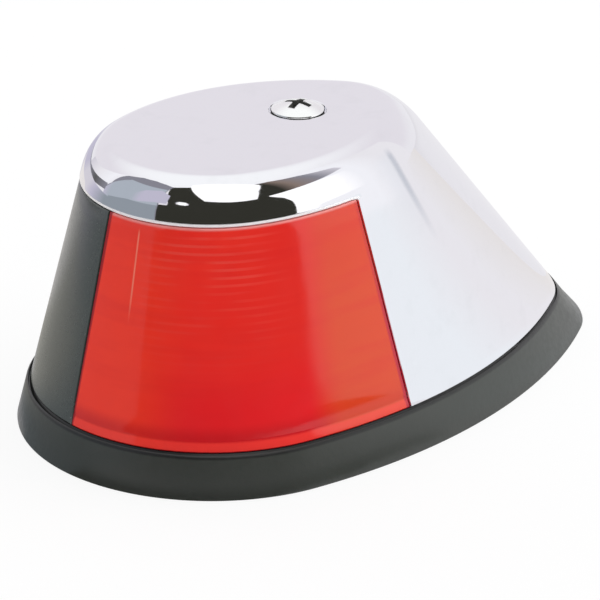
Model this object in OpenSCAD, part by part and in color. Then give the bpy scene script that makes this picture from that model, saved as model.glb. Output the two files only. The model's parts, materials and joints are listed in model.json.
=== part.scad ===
// Deck-mounted sidelight for a small boat: a one-piece metal cover over a red lens and a black
// screen, on a moulded base with a rubber foot gasket. The bow is +X, port is +Y, up is +Z, and
// the origin is the middle of the foot gasket's underside. All sizes are in millimetres.

/* [Outline at the foot of the cover] */
// Distance of the nose arc's centre ahead of the origin
foot_nose_x = 21.2; // [18:0.1:24]
// Radius of the nose arc
foot_nose_r = 27.7; // [25:0.1:30]
// Distance of the tail arc's centre ahead of the origin
foot_tail_x = -26.8; // [-29:0.1:-24]
// Radius of the tail arc
foot_tail_r = 18.3; // [16:0.1:20]
// Radius of the long side arcs
foot_side_r = 88; // [80:1:100]

/* [Outline at the top of the cover] */
// Distance of the nose arc's centre ahead of the origin
top_nose_x = 21.4; // [20:0.1:23]
// Radius of the nose arc
top_nose_r = 17.8; // [16:0.1:20]
// Distance of the tail arc's centre ahead of the origin
top_tail_x = -3.3; // [-6:0.1:-1]
// Radius of the tail arc
top_tail_r = 9.7; // [8:0.1:12]
// Radius of the long side arcs
top_side_r = 34.2; // [32:0.1:38]

/* [Cover] */
// Height of the joint between the foot gasket and the cover
foot_z = 6.4; // [5:0.1:8]
// Height of the flat top face
top_z = 44.5; // [43:0.1:47]
// Height of the rim band's lower edge, where the lens begins
rim_z = 38; // [36:0.1:39]
// Radius of the rounding between the walls and the top face
top_round = 2.7; // [1.5:0.1:3.5]
// Thickness of the cover's walls
cover_wall = 1.6; // [1.2:0.1:2]
// Thickness of the cover's top
cover_top = 2.2; // [2:0.1:2.6]
// Gap between the foot gasket and the cover
cover_gap = 0.1; // [0.05:0.05:0.3]

/* [Lens] */
// Distance of the lamp's axis ahead of the origin
lamp_x = 19.4; // [18:0.1:21]
// Angle from dead ahead at which the lens and the screen end
cutoff_angle = 112.5; // [100:0.5:120]
// Thickness of the lens and of the screen
lens_t = 2.2; // [1.8:0.1:2.6]
// How far the lens lies inside the cover's outer surface
lens_inset = 0.15; // [0.1:0.05:0.4]

/* [Foot gasket and base] */
// Thickness of the gasket's floor under the base plate
gasket_floor = 2; // [1.5:0.1:2.5]
// Thickness of the base plate's flange
plate_t = 3; // [2.5:0.1:3.2]
// Distance of the cover screw's axis ahead of the origin
screw_x = 4.4; // [2:0.1:6]
// Height of the screw post's top face
post_z = 35; // [33:0.1:35]
// Radius of the screw post
post_r = 6; // [5.5:0.1:6.2]
// Distance of the forward deck-screw hole ahead of the origin
deck_hole_fore_x = 37; // [35:0.5:38]
// Distance of the after deck-screw hole ahead of the origin
deck_hole_aft_x = -33; // [-34:0.5:-30]
// Radius of the deck-screw holes
deck_hole_r = 2.25; // [2:0.05:2.5]
// Distance of the wire entry ahead of the origin
wire_x = -14; // [-17:0.5:-12]
// Radius of the wire entry's hole
wire_r = 2.6; // [2:0.1:2.8]

/* [Bulb] */
// Length of the double-ended bulb over its caps
bulb_len = 31; // [30:0.5:31]
// Radius of the bulb's glass
bulb_r = 5.25; // [5:0.05:5.5]
// Radius of the bulb's caps
cap_r = 4.25; // [4:0.05:4.3]
// Height of the bulb's middle
bulb_z = 22.5; // [22:0.1:22.8]

/* [Hidden] */

$fn = 64;
eps = 0.5;                      // how far a cutting tool runs past the face it cuts
fit = 0.05;                     // radial play of a pin in its hole
play = 0.15;                    // gap between lofted faces of neighbouring pieces
angle_step = 4;                 // step of the wall's normal angle round the outline
ANGLES = [for (a = [0:angle_step:360 - angle_step]) a];

// An outline is [nose centre, nose radius, tail centre, tail radius, side radius]
FOOT = [foot_nose_x, foot_nose_r, foot_tail_x, foot_tail_r, foot_side_r];
TOP = [top_nose_x, top_nose_r, top_tail_x, top_tail_r, top_side_r];

cover_z = foot_z + cover_gap;           // lower edge of the cover, the lens and the screen
ceiling_z = top_z - cover_top;          // underside of the cover's top
plate_z = gasket_floor + plate_t;       // upper face of the base plate's flange
lens_back = lens_inset + lens_t;        // inset of the lens's inner face
lens_top_z = rim_z - play;
flange_in = cover_wall + play;          // inset of the flange's outer face, behind the cover
flange_out = 3.2;                       // inset of the flange's inner face
flange_w = 4;                           // reach of the flange behind the cover's edge
flange_z0 = 10.2;
flange_z1 = 41;
upstand_z = 9.5;                        // top of the base plate's upstand
upstand_in = 4.2;                       // inset of the upstand's outer face
upstand_t = 1.6;
pocket_in = 2.6;                        // inset of the gasket's pocket at the cover's foot
gasket_foot_out = 0.42;                 // how far the gasket's foot stands out from the wall
gasket_lip_out = 0.68;                  // the same for its upper edge
gasket_round = 0.35;
deck_boss_r = 4.6;
deck_boss_h = 1;

shank_r = 2.05;                         // a number 8 machine screw
shank_len = 15;
tip_h = 0.8;                            // height of the shank's tapered tip
head_r = 4;
head_h = 1.7;
spot_r = 4.35;                          // sunk seat for the sealing washer
spot_depth = 1;
washer_r = 4.05;
washer_t = 0.6;
head_z = top_z - spot_depth + washer_t; // underside of the screw's head
boss_r = 6;
boss_bore_r = 4.3;
boss_z = post_z + 0.2;
retainer_t = 0.8;
insert_r = 3.2;
insert_len = 10;
insert_fit = 0.02;                      // the insert is pressed into its hole

column_x = 13.6;                        // front face of the lamp column
column_t = 2.8;
column_w = 14;
column_z = 37.5;
clip_t = 0.5;
clip_h = 4.6;
clip_reach = 21.6;                      // how far ahead the clip's arms reach
cap_len = 5.5;
cap_middle = 3.2;                       // a clip's middle, in from the end of the bulb
upper_clip_z = bulb_z + bulb_len / 2 - cap_middle;
lower_clip_z = bulb_z - bulb_len / 2 + cap_middle;
shoulder_z = bulb_len / 2 - cap_len;    // a cap's inner end, from the bulb's middle
cap_floor = 2.65;                       // depth of the recess in a cap for the glass
filament_half = 6.5;
lead_r = 0.55;
rivet_r = 0.9;
rivet_y = 2.4;
rivet_sink = 2;                         // length of a rivet inside the column
terminal_x = 10.5;
terminal_y = 11.2;
terminal_r = 1.5;
grommet_r = 4;

function lerp(a, b, k) = a + (b - a) * k;

// Outline drawn in or out by d, parallel to itself
function inset(e, d) = e - d * [0, 1, 0, 1, 1];

// Centre of the side arc, which is tangent to the nose arc and the tail arc
function side_x(e) =
    let (len = e[0] - e[2], p = e[4] - e[1], q = e[4] - e[3])
    e[0] - (len * len + p * p - q * q) / (2 * len);
function side_y(e) = sqrt(pow(e[4] - e[1], 2) - pow(e[0] - side_x(e), 2));

// Point of an outline where its outward normal stands at angle t from the bow
function outline_point(e, t) =
    let (
        a = t <= 180 ? t : 360 - t,
        hand = t <= 180 ? 1 : -1,
        cx = side_x(e),
        cy = side_y(e),
        nose_end = atan2(cy, e[0] - cx),
        tail_start = atan2(cy, e[2] - cx),
        p = a < nose_end ? [e[0] + e[1] * cos(a), e[1] * sin(a)]
          : a < tail_start ? [cx + e[4] * cos(a), e[4] * sin(a) - cy]
          : [e[2] + e[3] * cos(a), e[3] * sin(a)]
    )
    [p[0], hand * p[1]];

// Point of the wall at height z, drawn in by d
function wall_point(z, d, t) =
    let (
        p = lerp(outline_point(inset(FOOT, d), t), outline_point(inset(TOP, d), t),
                 (z - foot_z) / (top_z - foot_z))
    )
    [p[0], p[1], z];

// Solid between stacked outlines. Each ring is [height, inset], from the lowest up.
module loft(rings) {
    n = len(ANGLES);
    m = len(rings);
    points = [for (r = rings, t = ANGLES) wall_point(r[0], r[1], t)];
    sides = [
        for (k = [0:m - 2], i = [0:n - 1])
            let (a = k * n + i, b = k * n + (i + 1) % n, c = b + n, d = a + n)
                each [[a, d, c], [a, c, b]]
    ];
    polyhedron(
        points,
        concat([[for (i = [0:n - 1]) i]], [[for (i = [n - 1:-1:0]) (m - 1) * n + i]], sides),
        convexity = 6
    );
}

// Wall between two heights, from the inset near to the inset far
module band(z0, z1, near, far) {
    difference() {
        loft([[z0, near], [z1, near]]);
        loft([[z0 - eps, far], [z1 + eps, far]]);
    }
}

// Everything ahead of the two cut-off planes, which stand on a vertical line at apex.
// hand is 1 for the port half, -1 for the starboard half and 0 for both.
module ahead(apex, hand, z0, z1) {
    far = 80;
    edge = [far * cos(cutoff_angle), far * sin(cutoff_angle)];
    seam = 0.06;
    outline =
        hand == 0
            ? [[0, 0], [edge[0], -edge[1]], [far, -edge[1]], [far, edge[1]], edge]
            : [[0, seam], [edge[0], edge[1] + seam], [far, edge[1] + seam], [far, seam]];
    translate([apex, 0, z0])
        mirror([0, hand < 0 ? 1 : 0, 0])
            linear_extrude(height = z1 - z0) polygon(outline);
}

// Vertical cylinder from z0 to z1
module post(x, y, r, z0, z1) {
    translate([x, y, z0]) cylinder(r = r, h = z1 - z0);
}

// ---- base ----

// Rubber tray under the base plate; its upper edge carries the cover
module base_gasket() {
    color("dimgray")
        difference() {
            loft([
                [0, -gasket_foot_out],
                [foot_z - gasket_round, -gasket_lip_out],
                [foot_z, -gasket_round]
            ]);
            vertical_pocket(gasket_floor, foot_z + eps, pocket_in);
            for (x = [deck_hole_fore_x, deck_hole_aft_x])
                post(x, 0, deck_hole_r, -eps, gasket_floor + eps);
            post(wire_x, 0, grommet_r + play, -eps, gasket_floor + eps);
        }
}

// Straight-sided plug whose outline is the cover's foot drawn in by d
module vertical_pocket(z0, z1, d) {
    outline = [for (t = ANGLES) outline_point(inset(FOOT, d), t)];
    translate([0, 0, z0]) linear_extrude(height = z1 - z0) polygon(outline);
}

// Moulded base: flange, upstand inside the lens, screw post and lamp column
module base_plate() {
    low_z = plate_z - eps;
    bore_z = post_z - insert_len;
    relief_len = 3;
    relief_r = shank_r + 0.3;
    web_t = 4;
    web_z = 33.5;
    hole_floor = 0.6;
    boss_top = plate_z + deck_boss_h;
    color("whitesmoke")
        difference() {
            union() {
                vertical_pocket(gasket_floor, plate_z, pocket_in + play);
                band(low_z, upstand_z, upstand_in, upstand_in + upstand_t);
                post(screw_x, 0, post_r, low_z, post_z);
                translate([column_x - column_t, -column_w / 2, low_z])
                    cube([column_t, column_w, column_z - low_z]);
                translate([screw_x, -web_t / 2, low_z])
                    cube([column_x - column_t / 2 - screw_x, web_t, web_z - low_z]);
                for (x = [deck_hole_fore_x, deck_hole_aft_x])
                    post(x, 0, deck_boss_r, low_z, boss_top);
            }
            post(screw_x, 0, insert_r + insert_fit, bore_z, post_z + eps);
            post(screw_x, 0, relief_r, bore_z - relief_len, bore_z + eps);
            for (x = [deck_hole_fore_x, deck_hole_aft_x])
                post(x, 0, deck_hole_r, gasket_floor - eps, boss_top + eps);
            post(wire_x, 0, grommet_r + play, gasket_floor - eps, plate_z + eps);
            for (y = [-terminal_y, terminal_y])
                post(terminal_x, y, terminal_r + fit, gasket_floor + hole_floor, plate_z + eps);
            for (z = [upper_clip_z, lower_clip_z], y = [-rivet_y, rivet_y])
                translate([column_x, y, z])
                    forward_pin(rivet_r + fit, -rivet_sink - play, eps);
        }
}

// Cylinder along the X axis from x0 to x1
module forward_pin(r, x0, x1) {
    translate([x0, 0, 0]) rotate([0, 90, 0]) cylinder(r = r, h = x1 - x0);
}

// Rubber cord round the upstand, against the inside of the lens and the cover
module cover_seal() {
    low_z = 6.7;
    cord_h = 1.4;
    color("darkslategray")
        band(low_z, low_z + cord_h, lens_back + 0.25, upstand_in - play);
}

// Threaded brass insert in the screw post, drawn with a plain bore
module screw_insert() {
    groove_h = 0.8;
    groove_depth = 0.3;
    groove_from_top = [3.6, 7];
    color("goldenrod")
        difference() {
            post(screw_x, 0, insert_r, post_z - insert_len, post_z);
            post(screw_x, 0, shank_r + 0.07, post_z - insert_len - eps, post_z + eps);
            for (d = groove_from_top)
                difference() {
                    post(screw_x, 0, insert_r + 1, post_z - d, post_z - d + groove_h);
                    post(screw_x, 0, insert_r - groove_depth, post_z - d - eps, post_z);
                }
        }
}

// Spring clip that holds one cap of the bulb. It is cut and folded from strip, with a leg down
// the column's side to a terminal on the base plate.
module bulb_clip(z, hand) {
    arm_y = cap_r + fit;
    side = column_w / 2;
    fold_x = column_x - 4.6;
    leg_w = 3.6;
    foot_w = 6;
    low_z = z - clip_h / 2;
    color("darkgoldenrod")
        mirror([0, hand < 0 ? 1 : 0, 0])
            difference() {
                union() {
                    translate([column_x, -arm_y - clip_t, low_z])
                        cube([clip_t, arm_y + 2 * clip_t + side, clip_h]);
                    for (y = [-arm_y - clip_t, arm_y])
                        translate([column_x, y, low_z])
                            cube([clip_reach - column_x, clip_t, clip_h]);
                    translate([fold_x, side, low_z])
                        cube([column_x + clip_t - fold_x, clip_t, clip_h]);
                    translate([fold_x, side, plate_z]) cube([leg_w, clip_t, z - plate_z]);
                    translate([terminal_x - foot_w / 2, side, plate_z])
                        cube([foot_w, terminal_y - side + foot_w / 2, clip_t]);
                }
                post(terminal_x, terminal_y, terminal_r + fit, plate_z - eps, plate_z + 2 * eps);
                for (y = [-rivet_y, rivet_y])
                    translate([column_x, y, z]) forward_pin(rivet_r + fit, -eps, clip_t + eps);
            }
}

module upper_clip() {
    bulb_clip(upper_clip_z, 1);
}

module lower_clip() {
    bulb_clip(lower_clip_z, -1);
}

// Four rivets that hold the clips to the column
module clip_rivets() {
    rivet_head_r = 1.6;
    rivet_head_h = 0.5;
    color("goldenrod")
        for (z = [upper_clip_z, lower_clip_z], y = [-rivet_y, rivet_y])
            translate([column_x, y, z]) {
                forward_pin(rivet_r, -rivet_sink, clip_t);
                forward_pin(rivet_head_r, clip_t, clip_t + rivet_head_h);
            }
}

// Two slotted screws that clamp the wires to the clips' feet
module terminal_screws() {
    screw_head_r = 2.75;
    screw_head_h = 1.9;
    slot_w = 0.7;
    slot_depth = 0.9;
    head_base = plate_z + clip_t;
    color("goldenrod")
        for (y = [-terminal_y, terminal_y])
            difference() {
                union() {
                    post(terminal_x, y, terminal_r, gasket_floor + 0.8, head_base + eps);
                    post(terminal_x, y, screw_head_r, head_base, head_base + screw_head_h);
                }
                translate([terminal_x - 4, y - slot_w / 2, head_base + screw_head_h - slot_depth])
                    cube([8, slot_w, slot_depth + eps]);
            }
}

// Rubber grommet round the wire entry
module wire_grommet() {
    low_z = 0.2;
    top = 7.4;
    lip_w = 2;
    lip_h = 1;
    cone = 0.4;
    color("dimgray")
        translate([wire_x, 0, 0])
            rotate_extrude()
                polygon([
                    [wire_r, low_z], [grommet_r, low_z], [grommet_r, plate_z],
                    [grommet_r + lip_w, plate_z], [grommet_r + lip_w, plate_z + lip_h],
                    [grommet_r, plate_z + lip_h + cone], [grommet_r - cone, top], [wire_r, top]
                ]);
}

// ---- cover ----

// One-piece cast cover: top, rim band over the lens, and the sloping tail
module top_cover() {
    round_steps = 5;
    rounding = [
        for (i = [0:round_steps])
            let (a = 90 * i / round_steps)
                [top_z - top_round + top_round * sin(a), top_round * (1 - cos(a))]
    ];
    color("silver")
        difference() {
            union() {
                difference() {
                    loft(concat([[cover_z, 0]], rounding));
                    loft([[cover_z - eps, cover_wall], [ceiling_z, cover_wall]]);
                    ahead(lamp_x, 0, cover_z - eps, rim_z);
                }
                post(screw_x, 0, boss_r, boss_z, ceiling_z + eps / 2);
            }
            post(screw_x, 0, boss_bore_r, boss_z - eps, ceiling_z);
            post(screw_x, 0, shank_r + 0.25, ceiling_z - eps, top_z + eps);
            post(screw_x, 0, spot_r, top_z - spot_depth, top_z + eps);
        }
}

// Pane in the cover's window on one side, with a flange behind the rim and the tail
module pane(hand) {
    root_t = 1.6;
    below_z = flange_z0 - 1;
    intersection() {
        band(cover_z, lens_top_z, lens_inset, lens_back);
        ahead(lamp_x + play, hand, cover_z - 1, lens_top_z + 1);
    }
    difference() {
        intersection() {
            band(flange_z0, flange_z1, flange_in, flange_out);
            ahead(lamp_x - flange_w, hand, below_z, flange_z1 + 1);
        }
        ahead(lamp_x + 3, 0, below_z, lens_top_z - root_t);
    }
}

module red_lens() {
    color("red") pane(1);
}

module blanking_screen() {
    color("darkslategray") pane(-1);
}

// Rubber strip between the flanges and the underside of the top
module lens_seal() {
    squeeze = 0.1;
    color("black")
        intersection() {
            band(flange_z1, ceiling_z - squeeze, flange_in + squeeze, flange_out);
            ahead(lamp_x - flange_w, 0, flange_z1 - 1, ceiling_z + 1);
        }
}

// Rubber strip behind the joint between the lens and the screen
module nose_strip() {
    width = 2;
    strip_t = 0.9;
    reach = 60;
    color("black")
        intersection() {
            band(flange_z0, lens_top_z - 2, lens_back + 0.02, lens_back + strip_t);
            translate([lamp_x, -width / 2, 0]) cube([reach, width, rim_z]);
        }
}

// Spring band that presses both flanges outwards against the rim
module lens_retainer() {
    low_z = 38.6;
    band_h = 2;
    band_t = 0.6;
    near = flange_out + 0.02;
    color("goldenrod")
        intersection() {
            band(low_z, low_z + band_h, near, near + band_t);
            ahead(lamp_x - flange_w, 0, low_z - 1, low_z + band_h + 1);
        }
}

// ---- cover screw ----

// Rubber washer under the screw's head
module screw_seal() {
    low_z = top_z - spot_depth;
    color("black")
        difference() {
            post(screw_x, 0, washer_r, low_z, head_z);
            post(screw_x, 0, shank_r + fit, low_z - eps, head_z + eps);
        }
}

// Push-on ring that keeps the screw in the cover
module screw_retainer() {
    low_z = boss_z + 0.2;
    color("silver")
        difference() {
            post(screw_x, 0, boss_bore_r - 0.3, low_z, low_z + retainer_t);
            post(screw_x, 0, shank_r + fit, low_z - eps, low_z + retainer_t + eps);
        }
}

// Pan-head machine screw with a cross recess, drawn with a plain shank
module cover_screw() {
    edge_h = 0.6;
    crown_r = 2.2;
    crown_steps = 6;
    recess_len = 4.6;
    recess_w = 0.9;
    recess_depth = 1.2;
    recess_turn = 20;
    crown = [
        for (i = [0:crown_steps])
            let (a = 90 * i / crown_steps)
                [crown_r + (head_r - crown_r) * cos(a), edge_h + (head_h - edge_h) * sin(a)]
    ];
    color("silver")
        translate([screw_x, 0, head_z])
            difference() {
                union() {
                    rotate_extrude() polygon(concat([[0, 0], [head_r, 0]], crown, [[0, head_h]]));
                    translate([0, 0, tip_h - shank_len]) cylinder(r = shank_r, h = shank_len);
                    translate([0, 0, -shank_len]) cylinder(r1 = 1.3, r2 = shank_r, h = tip_h);
                }
                for (a = [0, 90])
                    rotate([0, 0, a + recess_turn])
                        translate([-recess_len / 2, -recess_w / 2, head_h - recess_depth])
                            cube([recess_len, recess_w, recess_depth + eps]);
            }
}

// ---- bulb ----

// Glass tube drawn in at both ends
module bulb_glass() {
    wall = 0.7;
    neck_r = cap_r - 0.55;
    neck_z = shoulder_z + cap_floor - fit;
    waist_r = bulb_r - 0.5;
    belly_z = shoulder_z - 4.4;
    waist_z = shoulder_z - 2.6;
    root_z = shoulder_z - 0.6;
    wire_hole = lead_r + 0.07;
    outer = [[neck_r, neck_z], [neck_r, root_z], [waist_r, waist_z], [bulb_r, belly_z]];
    bore = [
        [bulb_r - wall, belly_z], [waist_r - wall, waist_z], [neck_r - 2 * wall, root_z],
        [wire_hole, root_z + 1], [wire_hole, neck_z]
    ];
    color("white", 0.5)
        translate([lamp_x, 0, bulb_z])
            rotate_extrude()
                polygon(concat(outer, upside_down(outer), upside_down(bore), bore));
}

// The same points below the middle, in the other order
function upside_down(points) =
    [for (i = [len(points) - 1:-1:0]) [points[i][0], -points[i][1]]];

// Metal cap on one end of the bulb, with a recess for the glass
module bulb_cap(up) {
    tip = bulb_len / 2;
    sleeve_t = 0.5;
    contact_r = 1.4;
    color("silver")
        translate([lamp_x, 0, bulb_z])
            mirror([0, 0, up ? 0 : 1])
                rotate_extrude()
                    polygon([
                        [0, shoulder_z + cap_floor], [cap_r - sleeve_t, shoulder_z + cap_floor],
                        [cap_r - sleeve_t, shoulder_z], [cap_r, shoulder_z],
                        [cap_r, tip - 1.6], [cap_r - 1, tip - 0.6], [contact_r, tip], [0, tip]
                    ]);
}

module bulb_cap_upper() {
    bulb_cap(true);
}

module bulb_cap_lower() {
    bulb_cap(false);
}

// Filament on the lamp's axis
module bulb_filament() {
    filament_r = 0.4;
    color("gold")
        post(lamp_x, 0, filament_r, bulb_z - filament_half, bulb_z + filament_half);
}

// Lead wires that carry the filament from the caps
module filament_supports() {
    lead_end = shoulder_z + cap_floor;
    color("silver") {
        post(lamp_x, 0, lead_r, bulb_z + filament_half, bulb_z + lead_end);
        post(lamp_x, 0, lead_r, bulb_z - lead_end, bulb_z - filament_half);
    }
}

base_gasket();
base_plate();
cover_seal();
screw_insert();
upper_clip();
lower_clip();
clip_rivets();
terminal_screws();
wire_grommet();
top_cover();
red_lens();
blanking_screen();
lens_seal();
nose_strip();
lens_retainer();
screw_seal();
screw_retainer();
cover_screw();
bulb_glass();
bulb_cap_upper();
bulb_cap_lower();
bulb_filament();
filament_supports();
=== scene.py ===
"""Port sidelight for a boat deck: chrome cover, red lens, matt screen and rubber foot gasket.

The bow is +X, port is +Y and up is +Z, in metres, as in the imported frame.
"""
import json
import math

import bmesh
import bpy
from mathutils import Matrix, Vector


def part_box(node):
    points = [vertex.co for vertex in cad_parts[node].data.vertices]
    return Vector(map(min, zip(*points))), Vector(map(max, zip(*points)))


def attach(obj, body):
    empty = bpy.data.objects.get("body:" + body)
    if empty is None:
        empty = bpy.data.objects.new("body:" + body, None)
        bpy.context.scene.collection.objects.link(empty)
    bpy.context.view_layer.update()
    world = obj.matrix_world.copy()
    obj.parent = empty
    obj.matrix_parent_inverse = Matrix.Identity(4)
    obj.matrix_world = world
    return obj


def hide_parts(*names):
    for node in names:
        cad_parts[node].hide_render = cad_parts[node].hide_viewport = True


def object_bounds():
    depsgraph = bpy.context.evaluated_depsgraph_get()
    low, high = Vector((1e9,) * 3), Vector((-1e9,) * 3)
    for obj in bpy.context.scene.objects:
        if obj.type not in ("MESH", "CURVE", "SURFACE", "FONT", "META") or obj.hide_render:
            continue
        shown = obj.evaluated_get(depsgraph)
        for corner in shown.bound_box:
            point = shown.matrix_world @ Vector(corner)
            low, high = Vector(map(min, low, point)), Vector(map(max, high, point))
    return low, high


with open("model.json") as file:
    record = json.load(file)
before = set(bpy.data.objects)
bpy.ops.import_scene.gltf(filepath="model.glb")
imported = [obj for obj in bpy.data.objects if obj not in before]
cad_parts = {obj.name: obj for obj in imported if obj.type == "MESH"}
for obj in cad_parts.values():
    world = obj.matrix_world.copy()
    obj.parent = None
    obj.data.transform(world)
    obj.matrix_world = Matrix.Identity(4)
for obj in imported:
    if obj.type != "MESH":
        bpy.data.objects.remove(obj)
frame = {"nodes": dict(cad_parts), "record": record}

CAD_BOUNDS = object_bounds()
MM = 0.001

# ---------------- sizes from the frame

COVER_LOW, COVER_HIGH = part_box("top_cover")
SCREW_LOW, SCREW_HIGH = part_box("cover_screw")
WASHER_LOW, WASHER_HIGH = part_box("screw_seal")
FILAMENT_LOW, FILAMENT_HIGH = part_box("bulb_filament")
MOUNTS = {mount["name"]: mount for mount in frame["record"]["mounts"]}

FOOT_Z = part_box("base_gasket")[1].z
PLATE_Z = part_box("base_plate")[0].z
COVER_Z = COVER_LOW.z
TOP_Z = COVER_HIGH.z
SCREW_X = (SCREW_LOW.x + SCREW_HIGH.x) / 2
HEAD_R = (SCREW_HIGH.x - SCREW_LOW.x) / 2
LAMP_X = (FILAMENT_LOW.x + FILAMENT_HIGH.x) / 2

# ---------------- sizes that the boxes don't give

CUTOFF = math.radians(112.5)            # where the lens ends, from dead ahead
FOLD_X, FOLD_Z, FOLD_LEAN = 1.1 * MM, 40.5 * MM, 0.48     # line between a flank and the tail

# The wall's outlines at the foot and at the top, as the CAD has them:
# nose arc's centre and radius, tail arc's centre and radius, side arcs' radius
FOOT = (21.2 * MM, 27.7 * MM, -26.8 * MM, 18.3 * MM, 88.0 * MM)
TOP = (21.4 * MM, 17.8 * MM, -3.3 * MM, 9.7 * MM, 34.2 * MM)

RIM_Z = 38.0 * MM
LIP_R = 0.6 * MM             # rounding of the rim band's lower edge
ROUND_Z = 39.6 * MM          # where the rim band begins to turn over towards the top
TOP_ROUND = 2.85 * MM        # how far in the turn ends
COVER_WALL = 1.6 * MM
CEILING_Z = TOP_Z - 2.2 * MM
PLAY = 0.15 * MM
GAP_TOP = COVER_Z + 0.14 * MM           # top of the painted shade in the gap over the gasket
LENS_INSET = 0.15 * MM
LENS_BACK = LENS_INSET + 2.2 * MM
BEAD_TOP = COVER_Z + 1.6 * MM
RIB_PITCH = 1.1 * MM
FLANGE_IN = COVER_WALL + PLAY
FLANGE_OUT = 3.2 * MM
FLANGE_TOP = 41.0 * MM
FLANGE_REACH = 4.0 * MM
SPOT_R = 4.35 * MM
SPOT_DEPTH = 1.0 * MM
BOSS_R = 6.0 * MM
BOSS_BORE_R = 4.3 * MM
BOSS_Z = 35.2 * MM
SCREW_HOLE_R = 2.3 * MM
CROWN_H = 1.1 * MM                      # height of the screw head's crown
RECESS_HEADINGS = (20, 110)             # the two blades of the cross recess, in degrees
GROMMET_SEAT_R = 4.15 * MM


# ---------------- the wall's geometry

def lerp(a, b, k):
    return a + (b - a) * k


def outline_point(arcs, angle, inset):
    """Point where the outline's outward normal stands at angle from the bow, port positive."""
    nose_x, nose_r, tail_x, tail_r, side_r = arcs
    length = nose_x - tail_x
    p = side_r - nose_r
    q = side_r - tail_r
    side_x = nose_x - (length * length + p * p - q * q) / (2 * length)
    side_y = math.sqrt(p * p - (nose_x - side_x) ** 2)
    angle = (angle + math.pi) % (2 * math.pi) - math.pi
    turn = abs(angle)
    if turn < math.atan2(side_y, nose_x - side_x):
        x = nose_x + (nose_r - inset) * math.cos(turn)
        y = (nose_r - inset) * math.sin(turn)
    elif turn < math.atan2(side_y, tail_x - side_x):
        x = side_x + (side_r - inset) * math.cos(turn)
        y = (side_r - inset) * math.sin(turn) - side_y
    else:
        x = tail_x + (tail_r - inset) * math.cos(turn)
        y = (tail_r - inset) * math.sin(turn)
    return x, math.copysign(y, angle)


def wall_point(z, inset, angle):
    """Point of the ruled wall at height z, drawn in by inset."""
    foot = outline_point(FOOT, angle, inset)
    top = outline_point(TOP, angle, inset)
    k = (z - FOOT_Z) / (TOP_Z - FOOT_Z)
    return Vector((lerp(foot[0], top[0], k), lerp(foot[1], top[1], k), z))


def cutoff_angle(z, inset, apex):
    """Normal angle where the wall meets the port cut-off plane through apex on the X axis."""
    low, high = math.radians(60), math.radians(175)
    for _ in range(40):
        middle = (low + high) / 2
        p = wall_point(z, inset, middle)
        ahead = (p.x - apex) * math.sin(CUTOFF) - p.y * math.cos(CUTOFF)
        if ahead > 0:
            low = middle
        else:
            high = middle
    return low


def seam_angle(z, inset, gap):
    """Normal angle where the nose's wall stands gap off the centre line."""
    k = (z - FOOT_Z) / (TOP_Z - FOOT_Z)
    radius = lerp(FOOT[1], TOP[1], k) - inset
    return math.asin(gap / radius)


# ---------------- mesh helpers

def in_scene(name, data):
    """New object with this data, linked to the scene."""
    obj = bpy.data.objects.new(name, data)
    bpy.context.scene.collection.objects.link(obj)
    return obj


def new_object(name, bm, sharp_degrees=32):
    """Object from a bmesh, smooth shaded but for its sharp edges."""
    bmesh.ops.remove_doubles(bm, verts=bm.verts, dist=1e-7)
    bmesh.ops.recalc_face_normals(bm, faces=bm.faces)
    mesh = bpy.data.meshes.new(name)
    bm.to_mesh(mesh)
    bm.free()
    mesh.shade_smooth()
    mesh.set_sharp_from_angle(angle=math.radians(sharp_degrees))
    return in_scene(name, mesh)


def strip(bm, row_a, row_b, closed=False):
    """Quads between two rows of vertices."""
    count = len(row_a)
    last = count if closed else count - 1
    for i in range(last):
        j = (i + 1) % count
        bm.faces.new((row_a[i], row_a[j], row_b[j], row_b[i]))


def skin(bm, rows, closed=False):
    """Quads between each row and the next."""
    for row_a, row_b in zip(rows, rows[1:]):
        strip(bm, row_a, row_b, closed)


def skin_bar(bm, rows):
    """Skin all round a bar whose rows run along it, with both its ends."""
    skin(bm, rows + rows[:1])
    for end in (0, -1):
        bm.faces.new([row[end] for row in rows])


def quarter(steps, first=0):
    """The pairs (1 - cosine, 1 - sine) over a quarter turn in equal steps."""
    for i in range(first, steps + 1):
        angle = math.pi / 2 * i / steps
        yield 1 - math.cos(angle), 1 - math.sin(angle)


def turned(bm, profile, centre, segments, radius_change=None):
    """Surface of revolution about a vertical line through centre. The profile is (radius, z)."""
    rows = []
    for radius, z in profile:
        if radius == 0:
            rows.append([bm.verts.new((centre.x, centre.y, z))])
            continue
        row = []
        for i in range(segments):
            a = 2 * math.pi * i / segments
            r = radius if radius_change is None else radius_change(radius, z, a)
            row.append(bm.verts.new((centre.x + r * math.cos(a), centre.y + r * math.sin(a), z)))
        rows.append(row)
    for row_a, row_b in zip(rows, rows[1:]):
        if len(row_a) == 1 or len(row_b) == 1:
            tip, ring = (row_a[0], row_b) if len(row_a) == 1 else (row_b[0], row_a)
            for i in range(segments):
                bm.faces.new((tip, ring[i], ring[(i + 1) % segments]))
        else:
            strip(bm, row_a, row_b, closed=True)


def cut(obj, cutter):
    """Takes cutter's volume out of obj, and deletes cutter."""
    modifier = obj.modifiers.new("cut", "BOOLEAN")
    modifier.operation = "DIFFERENCE"
    modifier.solver = "EXACT"
    modifier.object = cutter
    bpy.context.view_layer.update()
    graph = bpy.context.evaluated_depsgraph_get()
    result = bpy.data.meshes.new_from_object(obj.evaluated_get(graph))
    obj.modifiers.clear()
    obj.data = result
    bpy.data.objects.remove(cutter)


def smooth_step(value, low, high):
    """0 below low, 1 above high, and smooth between."""
    k = min(max((value - low) / (high - low), 0.0), 1.0)
    return k * k * (3 - 2 * k)


# ---------------- cover

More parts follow.
